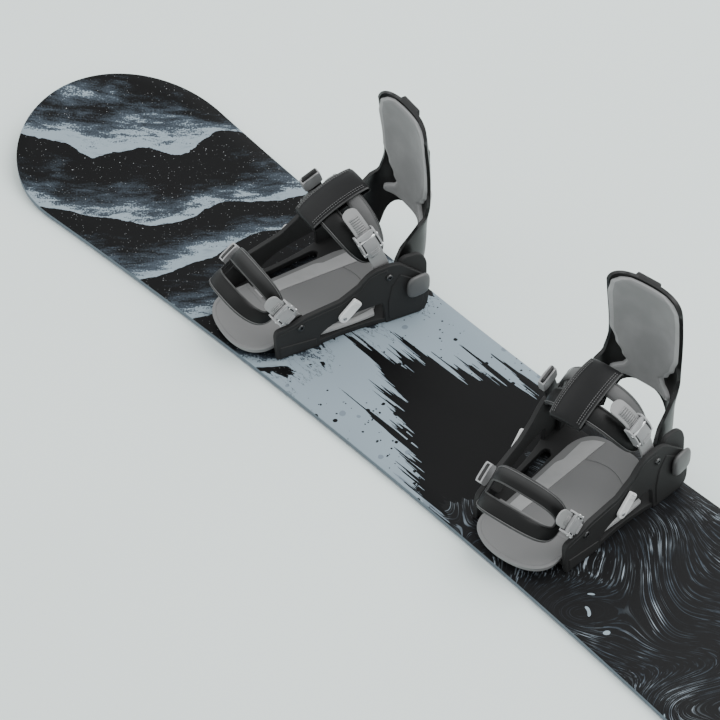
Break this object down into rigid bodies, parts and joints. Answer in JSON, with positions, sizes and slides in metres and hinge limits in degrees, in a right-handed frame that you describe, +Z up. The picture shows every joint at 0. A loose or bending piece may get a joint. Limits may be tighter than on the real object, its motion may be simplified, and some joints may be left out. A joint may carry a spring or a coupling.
{
  "type": "snowboard with strap bindings",
  "caption": "Snowboard with a strap binding for each foot, each with a tall highback, ankle and toe straps, buckles and catches.",
  "frame": {"origin": "centre of the board's flat base, on the ground", "axes": "+X to the tail, -X to the nose, +Y to the heel side, +Z up"},
  "size_m": [1.5, 0.3175, 0.2639],
  "materials": {
    "base_sheet": "smooth sintered sheet",
    "steel_edge": "ground steel",
    "core_wood": "sawn strips, hidden inside",
    "sidewall": "satin",
    "topsheet": "satin lacquer over printed sheet",
    "black_shell": "fine moulded grain",
    "disc": "moulded",
    "steel_screw": "plain",
    "footbed_foam": "matte foam",
    "ramp_rubber": "matte",
    "back_pad": "padded cloth",
    "white_plastic": "satin",
    "grey_cap": "satin",
    "strap_fabric": "moulded padded cloth",
    "sleeve_fabric": "coated cloth",
    "ladder_plastic": "satin",
    "buckle_metal": "painted, satin",
    "link_plastic": "satin"
  },
  "bodies": {
    "board": {"board_base": "base_sheet", "board_edge": "steel_edge", "board_core": "core_wood", "board_sidewall": "sidewall", "board_topsheet": "topsheet", "front_mounting_disc": "disc", "front_disc_screws": "steel_screw", "rear_mounting_disc": "disc", "rear_disc_screws": "steel_screw"},
    "front_base": {"front_baseplate": "black_shell", "front_footbed": "footbed_foam", "front_toe_ramp": "ramp_rubber", "front_heel_side_right": "black_shell", "front_heel_side_left": "black_shell", "front_hinge_bolt_right": "grey_cap", "front_hinge_bolt_left": "grey_cap"},
    "front_back": {"front_highback": "black_shell", "front_highback_pad": "back_pad"},
    "front_lean_stop": {"front_lean_block": "black_shell"},
    "front_lean_catch": {"front_lean_lever": "white_plastic"},
    "front_ankle": {"front_ankle_strap": "strap_fabric", "front_ankle_sleeve": "sleeve_fabric", "front_ankle_ladder": "ladder_plastic", "front_ankle_buckle": "buckle_metal", "front_ankle_link": "link_plastic", "front_ankle_link_clip": "buckle_metal"},
    "front_ankle_release": {"front_ankle_buckle_lever": "buckle_metal"},
    "front_toe": {"front_toe_strap": "strap_fabric", "front_toe_ladder": "ladder_plastic", "front_toe_buckle": "buckle_metal", "front_toe_link": "link_plastic"},
    "front_toe_release": {"front_toe_buckle_lever": "buckle_metal"},
    "front_right_catch": {"front_side_lever_right": "white_plastic"},
    "front_left_catch": {"front_side_lever_left": "white_plastic"},
    "rear_base": {"rear_baseplate": "black_shell", "rear_footbed": "footbed_foam", "rear_toe_ramp": "ramp_rubber", "rear_heel_side_right": "black_shell", "rear_heel_side_left": "black_shell", "rear_hinge_bolt_right": "grey_cap", "rear_hinge_bolt_left": "grey_cap"},
    "rear_back": {"rear_highback": "black_shell", "rear_highback_pad": "back_pad"},
    "rear_lean_stop": {"rear_lean_block": "black_shell"},
    "rear_lean_catch": {"rear_lean_lever": "white_plastic"},
    "rear_ankle": {"rear_ankle_strap": "strap_fabric", "rear_ankle_sleeve": "sleeve_fabric", "rear_ankle_ladder": "ladder_plastic", "rear_ankle_buckle": "buckle_metal", "rear_ankle_link": "link_plastic", "rear_ankle_link_clip": "buckle_metal"},
    "rear_ankle_release": {"rear_ankle_buckle_lever": "buckle_metal"},
    "rear_toe": {"rear_toe_strap": "strap_fabric", "rear_toe_ladder": "ladder_plastic", "rear_toe_buckle": "buckle_metal", "rear_toe_link": "link_plastic"},
    "rear_toe_release": {"rear_toe_buckle_lever": "buckle_metal"},
    "rear_right_catch": {"rear_side_lever_right": "white_plastic"},
    "rear_left_catch": {"rear_side_lever_left": "white_plastic"}
  },
  "joints": [
    {"name": "front_stance_turn", "type": "hinge", "parent": "board", "child": "front_base", "pos_m": [-0.243, -0.001, 0.01], "axis": [0, 0, 1], "range_deg": [-15, 15]},
    {"name": "front_back_fold", "type": "hinge", "parent": "front_base", "child": "front_back", "pos_m": [-0.22673, 0.10172, 0.058], "axis": [0.9877, -0.1564, 0], "range_deg": [0, 38]},
    {"name": "front_ankle_swing", "type": "hinge", "parent": "front_base", "child": "front_ankle", "pos_m": [-0.23252, 0.06517, 0.082], "axis": [0.9877, -0.1564, 0], "range_deg": [0, 38]},
    {"name": "front_lean_slide", "type": "slide", "parent": "front_back", "child": "front_lean_stop", "axis": [0, 0, 1], "range_m": [-0.008, 0.006]},
    {"name": "front_lean_catch_turn", "type": "hinge", "parent": "front_back", "child": "front_lean_catch", "pos_m": [-0.21766, 0.15901, 0.1325], "axis": [0.9877, -0.1564, 0], "range_deg": [0, 70]},
    {"name": "front_ankle_release_turn", "type": "hinge", "parent": "front_ankle", "child": "front_ankle_release", "pos_m": [-0.16301, 0.03825, 0.12518], "axis": [0.147, 0.9281, 0.342], "range_deg": [0, 75]},
    {"name": "front_toe_swing", "type": "hinge", "parent": "front_base", "child": "front_toe", "pos_m": [-0.25176, -0.05631, 0.05], "axis": [0.9877, -0.1564, 0], "range_deg": [-20, 5]},
    {"name": "front_toe_release_turn", "type": "hinge", "parent": "front_toe", "child": "front_toe_release", "pos_m": [-0.18794, -0.07926, 0.0681], "axis": [0.1281, 0.8091, 0.5736], "range_deg": [0, 75]},
    {"name": "front_right_catch_turn", "type": "hinge", "parent": "front_base", "child": "front_right_catch", "pos_m": [-0.16521, -0.01231, 0.046], "axis": [0.9649, -0.2533, 0.0695], "range_deg": [0, 80]},
    {"name": "front_left_catch_turn", "type": "hinge", "parent": "front_base", "child": "front_left_catch", "pos_m": [-0.32048, 0.01228, 0.046], "axis": [0.9959, -0.0572, -0.0695], "range_deg": [0, 80]},
    {"name": "rear_stance_turn", "type": "hinge", "parent": "board", "child": "rear_base", "pos_m": [0.224, 0.001, 0.01], "axis": [0, 0, 1], "range_deg": [-15, 15]},
    {"name": "rear_back_fold", "type": "hinge", "parent": "rear_base", "child": "rear_back", "pos_m": [0.20773, 0.10372, 0.058], "axis": [0.9877, 0.1564, 0], "range_deg": [0, 38]},
    {"name": "rear_ankle_swing", "type": "hinge", "parent": "rear_base", "child": "rear_ankle", "pos_m": [0.21352, 0.06717, 0.082], "axis": [0.9877, 0.1564, 0], "range_deg": [0, 38]},
    {"name": "rear_lean_slide", "type": "slide", "parent": "rear_back", "child": "rear_lean_stop", "axis": [0, 0, 1], "range_m": [-0.008, 0.006]},
    {"name": "rear_lean_catch_turn", "type": "hinge", "parent": "rear_back", "child": "rear_lean_catch", "pos_m": [0.19866, 0.16101, 0.1325], "axis": [0.9877, 0.1564, 0], "range_deg": [0, 70]},
    {"name": "rear_ankle_release_turn", "type": "hinge", "parent": "rear_ankle", "child": "rear_ankle_release", "pos_m": [0.28795, 0.06305, 0.12518], "axis": [-0.147, 0.9281, 0.342], "range_deg": [0, 75]},
    {"name": "rear_toe_swing", "type": "hinge", "parent": "rear_base", "child": "rear_toe", "pos_m": [0.23276, -0.05431, 0.05], "axis": [0.9877, 0.1564, 0], "range_deg": [-20, 5]},
    {"name": "rear_toe_release_turn", "type": "hinge", "parent": "rear_toe", "child": "rear_toe_release", "pos_m": [0.30054, -0.05641, 0.0681], "axis": [-0.1281, 0.8091, 0.5736], "range_deg": [0, 75]},
    {"name": "rear_right_catch_turn", "type": "hinge", "parent": "rear_base", "child": "rear_right_catch", "pos_m": [0.30148, 0.01428, 0.046], "axis": [0.9959, 0.0572, 0.0695], "range_deg": [0, 80]},
    {"name": "rear_left_catch_turn", "type": "hinge", "parent": "rear_base", "child": "rear_left_catch", "pos_m": [0.14621, -0.01031, 0.046], "axis": [0.9649, 0.2533, -0.0695], "range_deg": [0, 80]}
  ],
  "couplings": [
    {"joint": "front_ankle_swing", "follows": "front_back_fold", "ratio": 1},
    {"joint": "rear_ankle_swing", "follows": "rear_back_fold", "ratio": 1}
  ]
}
